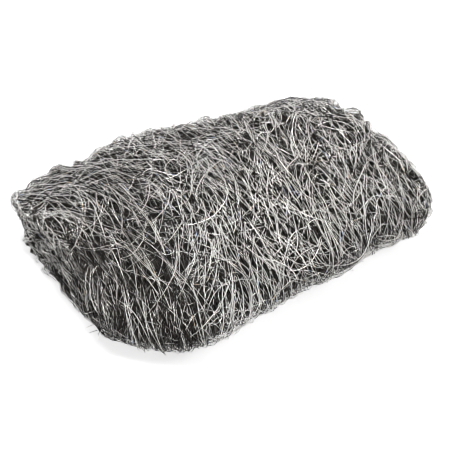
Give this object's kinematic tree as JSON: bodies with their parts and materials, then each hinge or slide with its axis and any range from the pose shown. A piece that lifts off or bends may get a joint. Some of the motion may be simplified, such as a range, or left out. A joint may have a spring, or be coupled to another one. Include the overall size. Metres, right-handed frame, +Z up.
{
  "type": "rolled steel wool pad",
  "caption": "Soft pad of steel wool: one fibrous ribbon wound flat into an uneven pillow-shaped roll that lies on a small flat spot.",
  "frame": {"origin": "middle of the rest face, under the middle of the roll", "axes": "+X along the roll's axis, towards its thick end; +Z up from the rest face"},
  "size_m": [0.1032, 0.0886, 0.0293],
  "materials": {
    "steel_wool": "fine tangled steel fibres, satin to bright"
  },
  "bodies": {
    "root": {"steel_wool_roll": "steel_wool"}
  },
  "joints": []
}
